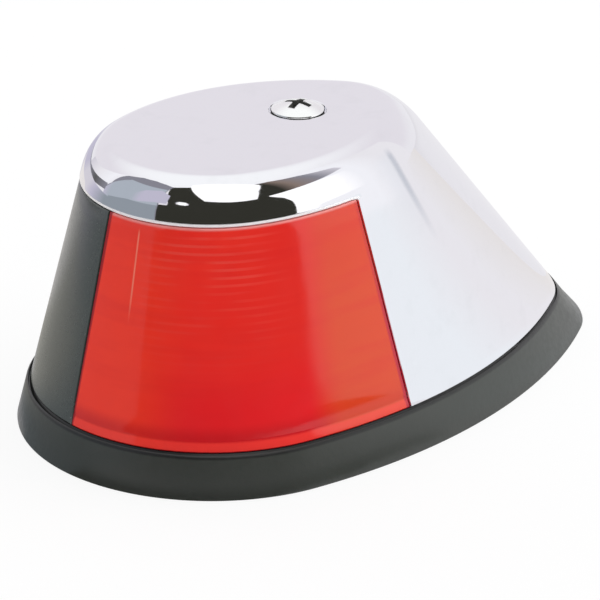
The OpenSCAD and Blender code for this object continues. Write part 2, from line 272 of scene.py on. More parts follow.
def build_cover():
    """One-piece casting: flat top, rim band over the lens, sloping tail, screw boss inside."""
    tail_columns, front_columns = 150, 130
    columns = [("tail", i / tail_columns) for i in range(tail_columns + 1)]
    tail_count = len(columns)
    columns += [("front", i / front_columns) for i in range(1, front_columns)]

    def angle_at(column, z, inset):
        zone, u = column
        edge = cutoff_angle(min(z, RIM_Z), inset, LAMP_X)
        if zone == "tail":
            return edge + u * (2 * math.pi - 2 * edge)
        return -edge + u * 2 * edge

    def wall_row(bm, z, inset, which, front_inset=None):
        row = []
        for column in which:
            depth = front_inset if front_inset is not None and column[0] == "front" else inset
            angle = angle_at(column, z, inset)
            row.append(bm.verts.new(wall_point(z, depth, angle)))
        return row

    bm = bmesh.new()
    # Outer wall of the band, from its lower edge up over the rounding
    rows = []
    for cos_part, sin_part in quarter(4):
        rows.append(wall_row(bm, RIM_Z + LIP_R * cos_part, 0, columns,
                             front_inset=LIP_R * sin_part))
    for z in (RIM_Z + 1.2 * LIP_R, lerp(RIM_Z + LIP_R, ROUND_Z, 0.5)):
        rows.append(wall_row(bm, z, 0, columns))
    for cos_part, sin_part in quarter(18):
        rows.append(wall_row(bm, lerp(TOP_Z, ROUND_Z, sin_part), TOP_ROUND * cos_part, columns))
    rows.append(wall_row(bm, TOP_Z, TOP_ROUND + 0.25 * MM, columns))
    # Top face into the screw hole, the boss and the ceiling
    polar = [math.atan2(v.co.y, v.co.x - SCREW_X) for v in rows[-1]]
    for radius, z in (
        (SPOT_R + 0.35 * MM, TOP_Z), (SPOT_R + 0.12 * MM, TOP_Z), (SPOT_R, TOP_Z - 0.1 * MM),
        (SPOT_R, TOP_Z - SPOT_DEPTH), (SCREW_HOLE_R, TOP_Z - SPOT_DEPTH),
        (SCREW_HOLE_R, CEILING_Z), (BOSS_BORE_R, CEILING_Z), (BOSS_BORE_R, BOSS_Z + 0.2 * MM),
        (BOSS_BORE_R + 0.2 * MM, BOSS_Z), (BOSS_R - 0.3 * MM, BOSS_Z),
        (BOSS_R, BOSS_Z + 0.3 * MM), (BOSS_R, CEILING_Z - 0.8 * MM),
        (BOSS_R + 0.25 * MM, CEILING_Z - 0.25 * MM), (BOSS_R + 0.8 * MM, CEILING_Z)
    ):
        rows.append([
            bm.verts.new((SCREW_X + radius * math.cos(a), radius * math.sin(a), z)) for a in polar
        ])
    # Inner wall down to the window's upper edge
    inner_round = 0.8 * MM
    for cos_part, sin_part in quarter(4):
        rows.append(wall_row(bm, CEILING_Z - inner_round * cos_part,
                             COVER_WALL + inner_round * sin_part, columns))
    rows.append(wall_row(bm, RIM_Z, COVER_WALL, columns))
    skin(bm, rows, closed=True)
    # Lower face of the band, over the window
    window = list(range(tail_count - 1, len(columns))) + [0]
    strip(bm, [rows[0][i] for i in window], [rows[-1][i] for i in window])

    # Tail wall below the band
    tail = columns[:tail_count]
    edge_round = 0.3 * MM
    outer, inner = [rows[0][:tail_count]], [rows[-1][:tail_count]]
    steps = 26
    for i in range(1, steps + 1):
        z = lerp(RIM_Z, COVER_Z + edge_round, i / steps)
        outer.append(wall_row(bm, z, 0, tail))
        inner.append(wall_row(bm, z, COVER_WALL, tail))
    for cos_part, sin_part in quarter(3, first=1):
        z = COVER_Z + edge_round * sin_part
        outer.append(wall_row(bm, z, edge_round * cos_part, tail))
        inner.append(wall_row(bm, z, COVER_WALL - edge_round * cos_part, tail))
    skin(bm, outer)
    skin(bm, inner)
    strip(bm, outer[-1], inner[-1])
    for end in (0, -1):
        strip(bm, [row[end] for row in outer], [row[end] for row in inner])
    return new_object("cover_casting", bm, sharp_degrees=40)


# ---------------- lens and screen

def pane_section(ribbed):
    """Closed section of a pane as (height, inset), up the outside and down the inside."""
    groove = 0.12 * MM
    section = [(COVER_Z + 0.1 * MM, LENS_INSET + 0.12 * MM), (COVER_Z + 0.3 * MM, LENS_INSET)]
    if ribbed:
        section += [(BEAD_TOP - 0.4 * MM, LENS_INSET), (BEAD_TOP, LENS_INSET + groove),
                    (BEAD_TOP + 0.2 * MM, LENS_INSET + groove)]
    section.append((BEAD_TOP + 0.8 * MM, LENS_INSET))
    steps = 12
    top = RIM_Z - 0.07 * MM
    section += [(lerp(BEAD_TOP + 0.8 * MM, top - 0.25 * MM, i / steps), LENS_INSET)
                for i in range(1, steps + 1)]
    section += [(top, LENS_INSET + 0.1 * MM), (top, FLANGE_IN), (FLANGE_TOP, FLANGE_IN),
                (FLANGE_TOP, FLANGE_OUT), (top - 1.6 * MM, FLANGE_OUT),
                (top - 1.6 * MM, LENS_BACK)]
    rib_top, rib_low, depth = top - 2.4 * MM, 20 * MM, 0.4 * MM
    if ribbed:
        z = rib_top
        while z - RIB_PITCH > rib_low:
            section += [(z, LENS_BACK), (z - 0.15 * RIB_PITCH, LENS_BACK + depth)]
            z -= RIB_PITCH
        section.append((z, LENS_BACK))
    section += [(COVER_Z + 4 * MM, LENS_BACK), (COVER_Z + 0.1 * MM, LENS_BACK)]
    return section


def build_pane(name, hand, ribbed):
    """Pane between the nose's seam and the cut-off plane, with its flange above.

    The hand is 1 to port and -1 to starboard.
    """
    columns = 110
    soft = 0.14 * MM
    seam = 0.06 * MM
    section = pane_section(ribbed)
    bm = bmesh.new()
    rows = []
    for z, inset in section:
        start = seam_angle(z, inset, seam)
        start_soft = seam_angle(z, inset, seam + soft)
        end = cutoff_angle(z, inset, LAMP_X + PLAY)
        end_soft = cutoff_angle(z, inset, LAMP_X + PLAY + soft)
        angles = [start] + [lerp(start_soft, end_soft, i / columns) for i in range(columns + 1)]
        angles.append(end)
        row = []
        for i, angle in enumerate(angles):
            at_edge = i in (0, len(angles) - 1) and inset < LENS_INSET + 0.05 * MM
            p = wall_point(z, inset + (soft if at_edge else 0), angle)
            row.append(bm.verts.new((p.x, hand * p.y, p.z)))
        rows.append(row)
    skin_bar(bm, rows)
    return new_object(name, bm, sharp_degrees=25)


def build_aft_flange(name, hand):
    """Flange that reaches behind the cover's edge, abaft the pane."""
    columns = 12
    levels = (10.2 * MM, 24 * MM, FLANGE_TOP)
    section = [(z, FLANGE_IN) for z in levels] + [(z, FLANGE_OUT) for z in reversed(levels)]
    bm = bmesh.new()
    rows = []
    for z, inset in section:
        start = cutoff_angle(z, inset, LAMP_X + PLAY - 0.02 * MM)
        end = cutoff_angle(z, inset, LAMP_X - FLANGE_REACH)
        points = [wall_point(z, inset, lerp(start, end, i / columns)) for i in range(columns + 1)]
        rows.append([bm.verts.new((p.x, hand * p.y, p.z)) for p in points])
    skin_bar(bm, rows)
    return new_object(name, bm, sharp_degrees=25)


# ---------------- foot gasket

def build_gasket():
    """Rubber tray whose wall carries on the slope of the cover."""
    columns = 260
    angles = [2 * math.pi * i / columns for i in range(columns)]
    out = 0.42 * MM              # how far it stands out from the wall of the cover
    pocket = 2.6 * MM
    near_tail, clear_of_tail, tail_share = 0.5, 1.3, 0.25
    section = [
        (0.0, -out + 0.25 * MM), (0.08 * MM, -out + 0.08 * MM), (0.3 * MM, -out),
        (0.5 * FOOT_Z, -out), (FOOT_Z - 0.45 * MM, -out), (FOOT_Z - 0.2 * MM, -out + 0.06 * MM),
        (FOOT_Z - 0.05 * MM, -out + 0.12 * MM), (FOOT_Z, -out + 0.22 * MM),
        (FOOT_Z - 0.06 * MM, -0.12 * MM), (FOOT_Z - 0.55 * MM, -0.06 * MM),
        (FOOT_Z - 0.55 * MM, 0.2 * MM), (FOOT_Z, 0.45 * MM), (FOOT_Z, pocket - 0.3 * MM)
    ]

    def drawn_in(z, inset, angle):
        """Round the tail, the upper half of the wall keeps only a share of its reach."""
        if z < 0.4 * FOOT_Z or inset > 0:
            return inset
        clear = smooth_step(abs(angle - math.pi), near_tail, clear_of_tail)
        return inset * lerp(tail_share, 1.0, clear)

    bm = bmesh.new()
    rows = [[bm.verts.new(wall_point(z, drawn_in(z, d, a), a)) for a in angles]
            for z, d in section]
    ring = [outline_point(FOOT, a, pocket) for a in angles]
    for z in (FOOT_Z - 0.3 * MM, PLATE_Z):
        rows.append([bm.verts.new((x, y, z)) for x, y in ring])
    skin(bm, rows, closed=True)
    bm.faces.new(rows[0])
    bm.faces.new(rows[-1])
    obj = new_object("foot_gasket", bm, sharp_degrees=50)
    pattern = MOUNTS["deck_screw_holes"]
    half = pattern["dims"]["spacing_x_mm"] * MM / 2
    hole_r = pattern["dims"]["hole_r_mm"] * MM
    middle = pattern["pos_m"][0]
    grommet_x = MOUNTS["wire_entry"]["pos_m"][0]
    low, high = -MM, PLATE_Z + MM
    for x, r in ((middle - half, hole_r), (middle + half, hole_r), (grommet_x, GROMMET_SEAT_R)):
        bm = bmesh.new()
        turned(bm, [(0, low), (r, low), (r, high), (0, high)], Vector((x, 0, 0)), segments=48)
        cut(obj, new_object("gasket_hole_cutter", bm))
    obj.data.set_sharp_from_angle(angle=math.radians(50))
    return obj


# ---------------- screw

def build_screw():
    """Pan-head machine screw with a cross recess and a rolled thread."""
    head_z, tip_z = WASHER_HIGH.z, SCREW_LOW.z
    shank_r = 2.05 * MM
    pitch = 0.79375 * MM
    thread_depth = 0.42 * MM
    thread_top = head_z - 2.2 * MM
    centre = Vector((SCREW_X, 0, 0))

    edge_z = SCREW_HIGH.z - CROWN_H
    edge_r = 0.12 * MM
    head = [(HEAD_R - 0.15 * MM, head_z), (HEAD_R, head_z + 0.15 * MM),
            (HEAD_R, edge_z - edge_r), (HEAD_R - 0.3 * edge_r, edge_z - 0.3 * edge_r)]
    steps = 16
    head += [((HEAD_R - edge_r) * (1 - i / steps), SCREW_HIGH.z - CROWN_H * (1 - i / steps) ** 2)
             for i in range(steps + 1)]

    def thread(radius, z, angle):
        """Radius with the thread's groove in it, which runs out at both ends."""
        if z > thread_top or z < tip_z + 0.5 * MM:
            return radius
        turn = ((z - tip_z) / pitch - angle / (2 * math.pi)) % 1.0
        fade = smooth_step(z, tip_z + 0.5 * MM, tip_z + 1.4 * MM)
        fade *= 1 - smooth_step(z, thread_top - pitch, thread_top)
        return radius - thread_depth * fade * (1 - smooth_step(abs(turn - 0.5), 0.1, 0.42))

    rings = 190
    shank = [(0, tip_z), (1.3 * MM, tip_z)]
    shank += [(shank_r, lerp(tip_z + 0.75 * MM, head_z, i / rings)) for i in range(rings + 1)]
    bm = bmesh.new()
    turned(bm, shank + head, centre, segments=72, radius_change=thread)
    obj = new_object("pan_head_screw", bm, sharp_degrees=35)
    for heading in RECESS_HEADINGS:
        cut(obj, recess_cutter(centre, SCREW_HIGH.z, math.radians(heading)))
    return obj


def recess_cutter(centre, top_z, heading):
    """Tapered blade of the cross recess."""
    length_top, length_low = 2.75 * MM, 1.5 * MM
    half_top, half_low = 0.66 * MM, 0.46 * MM
    depth = 1.2 * MM
    bm = bmesh.new()
    rings = []
    for length, half, z in ((length_low, half_low, top_z - depth),
                            (length_top, half_top, top_z + 0.3 * MM)):
        ring = []
        for sx, sy in ((1, 1), (-1, 1), (-1, -1), (1, -1)):
            x, y = sx * length, sy * half
            ring.append(bm.verts.new((
                centre.x + x * math.cos(heading) - y * math.sin(heading),
                centre.y + x * math.sin(heading) + y * math.cos(heading), z)))
        rings.append(ring)
    strip(bm, rings[0], rings[1], closed=True)
    bm.faces.new(rings[0])
    bm.faces.new(rings[1])
    return new_object("recess_cutter", bm)


def build_washer():
    """Soft washer squeezed a little under the screw's head."""
    low, high = WASHER_LOW.z, WASHER_HIGH.z
    middle, half = (low + high) / 2, (high - low) / 2
    bore = 2.12 * MM
    bulge = 0.25 * MM
    flat = (WASHER_HIGH.x - WASHER_LOW.x) / 2 - bulge
    profile = [(bore, low), (flat, low)]
    for i in range(1, 10):
        angle = math.pi * (i / 10 - 0.5)
        profile.append((flat + bulge * math.cos(angle), middle + half * math.sin(angle)))
    profile += [(flat, high), (bore, high), (bore, low)]
    bm = bmesh.new()
    turned(bm, profile, Vector((SCREW_X, 0, 0)), segments=96)
    return new_object("sealing_washer", bm)


# ---------------- materials

class Nodes:
    """Short way to lay out the nodes of one material or group."""

    def __init__(self, tree):
        self.tree = tree
        self.column = 0

    def add(self, kind, **settings):
        node = self.tree.nodes.new(kind)
        self.column += 1
        node.location = (220 * (self.column % 8), -260 * (self.column // 8))
        for name, value in settings.items():
            setattr(node, name, value)
        return node

    def link(self, source, target):
        self.tree.links.new(source, target)

    def put(self, value, socket):
        """A number or colour is set on the socket; an output is linked to it."""
        if isinstance(value, bpy.types.NodeSocket):
            self.link(value, socket)
        else:
            socket.default_value = value

    def fill(self, node, **values):
        """Puts values on a node's named sockets. An underscore in a name is a space there."""
        for name, value in values.items():
            self.put(value, node.inputs[name.replace("_", " ")])
        return node

    def maths(self, operation, a, b=0.5, c=0.0):
        node = self.add("ShaderNodeMath", operation=operation)
        for value, socket in zip((a, b, c), node.inputs):
            self.put(value, socket)
        return node.outputs[0]

    def times(self, first, *others):
        """Product of two or more values."""
        for other in others:
            first = self.maths("MULTIPLY", first, other)
        return first

    def axes(self, vector):
        """The x, y and z parts of a vector."""
        node = self.add("ShaderNodeSeparateXYZ")
        self.link(vector, node.inputs[0])
        return tuple(node.outputs)

    def mix(self, factor, a, b):
        node = self.add("ShaderNodeMix", data_type="RGBA")
        self.put(factor, node.inputs[0])
        self.put(a, node.inputs[6])
        self.put(b, node.inputs[7])
        return node.outputs[2]

    def tint(self, base, mask, strength, colour):
        """Lays colour over base where the mask is, as far as strength."""
        return self.mix(self.times(mask, strength), base, colour)

    def blend(self, value, low, high, out_low=0.0, out_high=1.0):
        node = self.add("ShaderNodeMapRange", interpolation_type="SMOOTHSTEP")
        for entry, socket in zip((value, low, high, out_low, out_high), node.inputs):
            self.put(entry, socket)
        return node.outputs[0]

    def noise(self, place, scale, detail=4.0, roughness=0.55):
        node = self.add("ShaderNodeTexNoise")
        self.fill(node, Vector=place, Scale=scale, Detail=detail, Roughness=roughness)
        return node.outputs["Fac"]

    def stretched(self, place, scale):
        node = self.add("ShaderNodeMapping")
        return self.fill(node, Vector=place, Scale=scale).outputs[0]


def group(name, inputs, outputs):
    """Empty shader node group with named sockets, and its input and output nodes."""
    tree = bpy.data.node_groups.new(name, "ShaderNodeTree")
    for label, kind, default in inputs:
        socket = tree.interface.new_socket(name=label, in_out="INPUT", socket_type=kind)
        if default is not None:
            socket.default_value = default
    for label, kind in outputs:
        tree.interface.new_socket(name=label, in_out="OUTPUT", socket_type=kind)
    nodes = Nodes(tree)
    return tree, nodes, nodes.add("NodeGroupInput"), nodes.add("NodeGroupOutput")


FLOAT = "NodeSocketFloat"
VECTOR = "NodeSocketVector"


def surface_grain_group():
    """Fine grain: a height for bump and a mask of light and dark specks."""
    tree, n, given, result = group(
        "surface_grain",
        [("Place", VECTOR, None), ("Scale", FLOAT, 900.0), ("Contrast", FLOAT, 0.5)],
        [("Height", FLOAT), ("Mask", FLOAT)])
    place, scale = given.outputs["Place"], given.outputs["Scale"]
    fine = n.noise(place, scale, 3.0, 0.6)
    broad = n.noise(place, n.times(scale, 0.12), 4.0, 0.6)
    height = n.maths("ADD", n.times(fine, 0.75), n.times(broad, 0.25))
    spread = n.times(n.maths("SUBTRACT", height, 0.5), given.outputs["Contrast"])
    n.fill(result, Height=height, Mask=n.maths("ADD", spread, 0.5))
    return tree


def edge_wear_group():
    """Mask of rubbed edges, broken up by noise."""
    tree, n, given, result = group(
        "edge_wear",
        [("Place", VECTOR, None), ("Start", FLOAT, 0.52), ("End", FLOAT, 0.6),
         ("Scale", FLOAT, 250.0)],
        [("Mask", FLOAT)])
    geometry = n.add("ShaderNodeNewGeometry")
    edge = n.blend(geometry.outputs["Pointiness"], given.outputs["Start"], given.outputs["End"])
    broken = n.blend(n.noise(given.outputs["Place"], given.outputs["Scale"]), 0.35, 0.65)
    n.fill(result, Mask=n.times(edge, broken))
    return tree


def dust_group():
    """Mask of dust that lies on upward faces and in patches."""
    tree, n, given, result = group(
        "settled_dust",
        [("Place", VECTOR, None), ("Scale", FLOAT, 120.0), ("Amount", FLOAT, 0.4)],
        [("Mask", FLOAT)])
    _, _, normal_z = n.axes(n.add("ShaderNodeNewGeometry").outputs["Normal"])
    up = n.blend(normal_z, -0.4, 1.0, 0.25, 1.0)
    patches = n.blend(n.noise(given.outputs["Place"], given.outputs["Scale"], 5.0), 0.35, 0.75)
    n.fill(result, Mask=n.times(up, patches, given.outputs["Amount"]))
    return tree


def polish_lines_group():
    """Faint scratches and swirls that a polishing cloth leaves."""
    tree, n, given, result = group(
        "polish_lines",
        [("Place", VECTOR, None), ("Scale", FLOAT, 400.0)],
        [("Mask", FLOAT)])
    total = None
    for stretch in ((1.0, 0.03, 0.6), (0.05, 1.0, 0.8), (0.5, 0.6, 0.03)):
        lines = n.noise(n.stretched(given.outputs["Place"], stretch), given.outputs["Scale"], 2.0)
        thin = n.blend(lines, 0.62, 0.72)
        total = thin if total is None else n.maths("MAXIMUM", total, thin)
    n.fill(result, Mask=total)
    return tree


GROUPS = {
    "grain": surface_grain_group(),
    "wear": edge_wear_group(),
    "dust": dust_group(),
    "polish": polish_lines_group(),
}


def place_group(n, kind, place, **values):
    """Puts a shared effect in a material with that material's own values."""
    node = n.add("ShaderNodeGroup", node_tree=GROUPS[kind])
    return n.fill(node, Place=place, **values).outputs


def bare_material(name):
    """New material with nothing in its node tree yet."""
    material = bpy.data.materials.new(name)
    material.use_nodes = True
    material.node_tree.nodes.clear()
    return material, Nodes(material.node_tree)


def finish(name, **settings):
    """New material; settings go straight on the shader's own sockets."""
    material, n = bare_material(name)
    place = n.add("ShaderNodeTexCoord").outputs["Object"]
    shader = n.fill(n.add("ShaderNodeBsdfPrincipled"), **settings)
    n.fill(n.add("ShaderNodeOutputMaterial"), Surface=shader.outputs[0])
    return material, n, place, shader


def bump(n, shader, height, distance, strength):
    node = n.fill(n.add("ShaderNodeBump"), Strength=strength, Distance=distance, Height=height)
    n.fill(shader, Normal=node.outputs[0])


def chrome_finish():
    """Polished plate over a casting: mirror bright, duller in the fold before the tail, where it
    is rougher and carries painted shade, with a painted bluish reflection just ahead of the fold,
    painted shade in the gap at its foot and a painted highlight on the band's lower lip.
    """
    material, n, place, shader = finish("chrome_finish", Metallic=1.0)
    _, _, z = n.axes(place)
    _, _, normal_z = n.axes(n.add("ShaderNodeNewGeometry").outputs["Normal"])
    waves = n.noise(place, 40.0, 1.0, 0.4)
    lines = place_group(n, "polish", place, Scale=500.0)["Mask"]
    spots = n.blend(n.noise(place, 260.0, 5.0), 0.5, 0.8)
    plate = n.mix(spots, (0.855, 0.848, 0.875, 1), (0.83, 0.825, 0.85, 1))
    # Painted shade along the fold, and a painted bluish reflection on the plate just ahead of it
    fold_shade, ahead = fold_masks(n, place)
    plate = n.tint(plate, ahead, 0.5, (0.80, 0.83, 0.875, 1))
    plate = n.tint(plate, fold_shade, 0.78, (0.52, 0.55, 0.61, 1))
    # Painted shade: the plate turns near black at its foot, in the gap over the gasket
    gap_shade = n.blend(z, GAP_TOP + 0.16 * MM, GAP_TOP)
    plate = n.mix(gap_shade, plate, (0.006, 0.006, 0.006, 1))
    # Painted highlight: the band's lower lip is white satin, not polished, and catches the light
    # from the floor.
    over_lip = RIM_Z + LIP_R + 0.1 * MM
    lip_highlight = n.times(n.blend(normal_z, 0.22, 0.08), n.blend(z, RIM_Z - 0.2 * MM, RIM_Z),
                  n.blend(z, over_lip + 0.2 * MM, over_lip))
    plate = n.mix(lip_highlight, plate, (0.96, 0.95, 0.96, 1))
    # Metal is left out where the gap's shade and the lip's highlight are painted
    painted_non_metal = n.maths("MAXIMUM", gap_shade, n.times(lip_highlight, 0.85))
    rough = 0.035
    for mask, added in ((spots, 0.03), (lines, 0.03), (lip_highlight, 0.25), (fold_shade, 0.2), (gap_shade, 0.5)):
        rough = n.maths("MULTIPLY_ADD", mask, added, rough)
    n.fill(shader, Base_Color=plate, Metallic=n.maths("SUBTRACT", 1.0, painted_non_metal), Roughness=rough)
    height = n.maths("MULTIPLY_ADD", fold_shade, -0.5, n.times(waves, 0.25))
    bump(n, shader, height, 0.05 * MM, 0.6)
    return material


def fold_masks(n, place):
    """Masks of the fold's own line, for painted shade, and of the plate just ahead of it, for a
    painted bluish reflection.
    """
    x, _, z = n.axes(place)
    line_x = n.maths("MULTIPLY_ADD", z, FOLD_LEAN, FOLD_X - FOLD_LEAN * FOLD_Z)
    off = n.maths("SUBTRACT", x, line_x)
    near = n.blend(n.maths("ABSOLUTE", off), 1.15 * MM, 0.1 * MM)
    ahead = n.times(n.blend(off, -0.4 * MM, 0.4 * MM), n.blend(off, 6 * MM, 1 * MM))
    fade = n.times(n.blend(z, 26 * MM, 38 * MM), n.blend(z, 42.6 * MM, 41 * MM))
    return n.times(near, fade), n.times(ahead, fade)


def red_lens_finish():
    """Deep red acrylic with streaks in it and a bead along its foot, and painted light and shade:
    tones over the pane, highlights over the ribs, the bead and near the seam, dark edges and
    gaps.
    """
    material, n, place, shader = finish("red_lens_finish", Transmission_Weight=0.05, IOR=1.49)
    x, y, z = n.axes(place)
    turn = n.maths("ARCTAN2", y, n.maths("SUBTRACT", x, FOOT[0]))

    def sector(angle, start, end):
        """Blend between two headings in degrees."""
        return n.blend(angle, math.radians(start), math.radians(end))

    def level(start, end, *outs):
        """Blend between two heights in millimetres."""
        return n.blend(z, start * MM, end * MM, *outs)

    # Painted light and shade over the pane: paler orange towards the aft edge and the seam,
    # darker crimson low in the middle.
    # The painted aft light leans with the cut-off edge.
    lean = -3.5                  # radians a metre
    clouds = n.blend(n.noise(place, 70.0, 3.0), 0.3, 0.7)
    red = n.mix(clouds, (0.93, 0.028, 0.020, 1), (0.96, 0.038, 0.024, 1))
    aft = sector(n.maths("MULTIPLY_ADD", z, lean, turn), 78, 93)
    orange = n.mix(level(24, 36), (0.74, 0.072, 0.014, 1), (0.74, 0.052, 0.010, 1))
    fore = sector(turn, 44, 16)
    low = n.times(level(24, 11), n.maths("SUBTRACT", 1.0, aft), n.blend(fore, 0.0, 1.0, 1.0, 0.3))
    red = n.mix(sector(turn, 42, 86), red, (0.80, 0.028, 0.020, 1))
    red = n.tint(red, low, 0.7, (0.84, 0.012, 0.022, 1))
    red = n.tint(red, fore, 0.75, (0.98, 0.050, 0.020, 1))
    red = n.tint(red, aft, 0.85, orange)
    # Painted highlights of the ribs inside, in front of the bulb
    rib_highlights = n.blend(n.maths("SINE", n.times(z, 2 * math.pi / RIB_PITCH)), 0.0, 0.9)
    window = n.times(sector(turn, 16, 32), sector(turn, 84, 60), level(15, 34))
    broken = n.blend(n.noise(n.stretched(place, (0.25, 0.25, 1.0)), 400.0, 2.0), 0.3, 0.65)
    red = n.tint(red, n.times(rib_highlights, window, broken), 0.45, (0.92, 0.11, 0.085, 1))
    # Faint level streaks of the moulding, all over the pane
    streaks = n.blend(n.noise(n.stretched(place, (0.12, 0.12, 1.0)), 330.0, 2.0), 0.42, 0.68)
    red = n.tint(red, streaks, 0.22, (0.74, 0.018, 0.020, 1))
    # Painted highlight near the seam: a thin light line down the pane
    off_highlight = n.maths("ABSOLUTE", n.maths("SUBTRACT", turn, math.radians(17.5)))
    highlight_line = n.times(sector(off_highlight, 0.55, 0.1), level(23, 29), level(37.2, 36))
    red = n.tint(red, highlight_line, 0.8, (0.98, 0.26, 0.17, 1))
    # Bead along the foot, with a painted highlight on it, painted shade on the step over it and
    # painted shade in the gap under it
    bead_highlight = n.blend(z, BEAD_TOP + 0.1 * MM, BEAD_TOP - 0.3 * MM)
    step_shade = n.times(n.blend(z, BEAD_TOP + 2.6 * MM, BEAD_TOP + 0.4 * MM),
                   n.maths("SUBTRACT", n.blend(aft, 0.0, 1.0, 1.0, 0.4), bead_highlight))
    gap_shade = n.blend(z, GAP_TOP + 0.18 * MM, GAP_TOP)
    red = n.tint(red, step_shade, 0.6, (0.55, 0.010, 0.016, 1))
    red = n.tint(red, bead_highlight, 0.6, (0.97, 0.060, 0.045, 1))
    red = n.tint(red, gap_shade, 0.9, (0.30, 0.005, 0.010, 1))
    # Painted shade along the edges over the nose strip and the cut-off edge, a painted
    # reflection, pale, under the rim
    inside = n.maths("MULTIPLY_ADD", n.maths("SUBTRACT", x, LAMP_X), math.sin(CUTOFF),
                     n.times(y, -math.cos(CUTOFF)))
    edge = n.times(n.blend(inside, 0.95 * MM, 0.55 * MM), level(34, 18, 0.35, 0.85))
    top = n.blend(z, RIM_Z - 0.5 * MM, RIM_Z - 0.1 * MM)
    reach = level(36, 8, 0.65 * MM, 0.40 * MM)
    seam = n.blend(n.maths("SUBTRACT", y, reach), 0.25 * MM, -0.1 * MM)
    red = n.mix(edge, red, (0.50, 0.008, 0.040, 1))
    red = n.tint(red, top, 0.65, (0.98, 0.45, 0.42, 1))
    red = n.tint(red, seam, 0.95, (0.33, 0.005, 0.010, 1))
    rough = n.blend(n.noise(place, 300.0), 0.3, 0.8, 0.07, 0.14)
    n.fill(shader, Base_Color=red, Roughness=rough)
    bump(n, shader, n.noise(place, 60.0, 2.0), 0.03 * MM, 0.5)
    return material


def dark_plastic_finish():
    """Matt black moulded plastic with a fine spark-eroded grain."""
    material, n, place, shader = finish("dark_plastic_finish", Specular_IOR_Level=1.1)
    grain = place_group(n, "grain", place, Scale=1500.0, Contrast=0.9)
    dust = place_group(n, "dust", place, Scale=90.0, Amount=0.05)["Mask"]
    wear = place_group(n, "wear", place, Start=0.53, End=0.62, Scale=300.0)["Mask"]
    dark = n.mix(grain["Mask"], (0.033, 0.041, 0.035, 1), (0.044, 0.053, 0.046, 1))
    dark = n.tint(dark, wear, 0.5, (0.13, 0.13, 0.125, 1))
    dark = n.mix(dust, dark, (0.075, 0.08, 0.072, 1))
    n.fill(shader, Base_Color=dark, Roughness=n.blend(grain["Height"], 0.3, 0.7, 0.20, 0.28))
    bump(n, shader, grain["Height"], 0.01 * MM, 0.25)
    return material


def rubber_finish():
    """Moulded black rubber, slightly greyed by bloom and dust, with painted shade along the
    gasket's upper edge.
    """
    material, n, place, shader = finish("rubber_finish", Specular_IOR_Level=0.6)
    grain = place_group(n, "grain", place, Scale=1100.0, Contrast=1.0)
    dust = place_group(n, "dust", place, Scale=60.0, Amount=0.14)["Mask"]
    wear = place_group(n, "wear", place, Start=0.52, End=0.60, Scale=200.0)["Mask"]
    black = n.mix(grain["Mask"], (0.031, 0.036, 0.030, 1), (0.038, 0.043, 0.036, 1))
    black = n.tint(black, wear, 0.12, (0.11, 0.115, 0.105, 1))
    black = n.mix(dust, black, (0.085, 0.09, 0.082, 1))
    # Painted shade on the gasket's upper edge, where it lies in the gap under the cover.
    _, _, z = n.axes(place)
    gap_shade = n.times(n.blend(z, FOOT_Z - 0.65 * MM, FOOT_Z - 0.3 * MM),
                    n.blend(z, FOOT_Z + 0.2 * MM, FOOT_Z + 0.1 * MM))
    black = n.tint(black, gap_shade, 0.85, (0.002, 0.002, 0.002, 1))
    n.fill(shader, Base_Color=black, Roughness=n.blend(grain["Height"], 0.3, 0.7, 0.34, 0.44))
    bump(n, shader, grain["Height"], 0.05 * MM, 0.6)
    return material


def white_plastic_finish():
    """White moulded plastic with a faint grain and a little grime in it."""
    material, n, place, shader = finish("white_plastic_finish")
    grain = place_group(n, "grain", place, Scale=900.0, Contrast=0.6)
    dust = place_group(n, "dust", place, Scale=80.0, Amount=0.3)["Mask"]
    white = n.mix(grain["Mask"], (0.80, 0.80, 0.78, 1), (0.87, 0.87, 0.86, 1))
    white = n.mix(dust, white, (0.66, 0.65, 0.61, 1))
    n.fill(shader, Base_Color=white, Roughness=n.blend(grain["Height"], 0.3, 0.7, 0.34, 0.48))
    bump(n, shader, grain["Height"], 0.03 * MM, 0.4)
    return material


def metal_finish(name, light, dark, low_rough, high_rough, line_scale):
    """Drawn or turned metal: brushed lines, tarnish in patches and bright edges."""
    material, n, place, shader = finish(name, Metallic=1.0)
    lines = n.noise(n.stretched(place, (0.12, 1.0, 0.5)), line_scale, 3.0)
    tarnish = n.blend(n.noise(place, 180.0, 5.0), 0.35, 0.75)
    wear = place_group(n, "wear", place, Start=0.53, End=0.62, Scale=300.0)["Mask"]
    colour = n.tint(n.mix(tarnish, light, dark), wear, 0.7, light)
    n.fill(shader, Base_Color=colour, Roughness=n.blend(lines, 0.3, 0.7, low_rough, high_rough))
    bump(n, shader, lines, 0.01 * MM, 0.3)
    return material


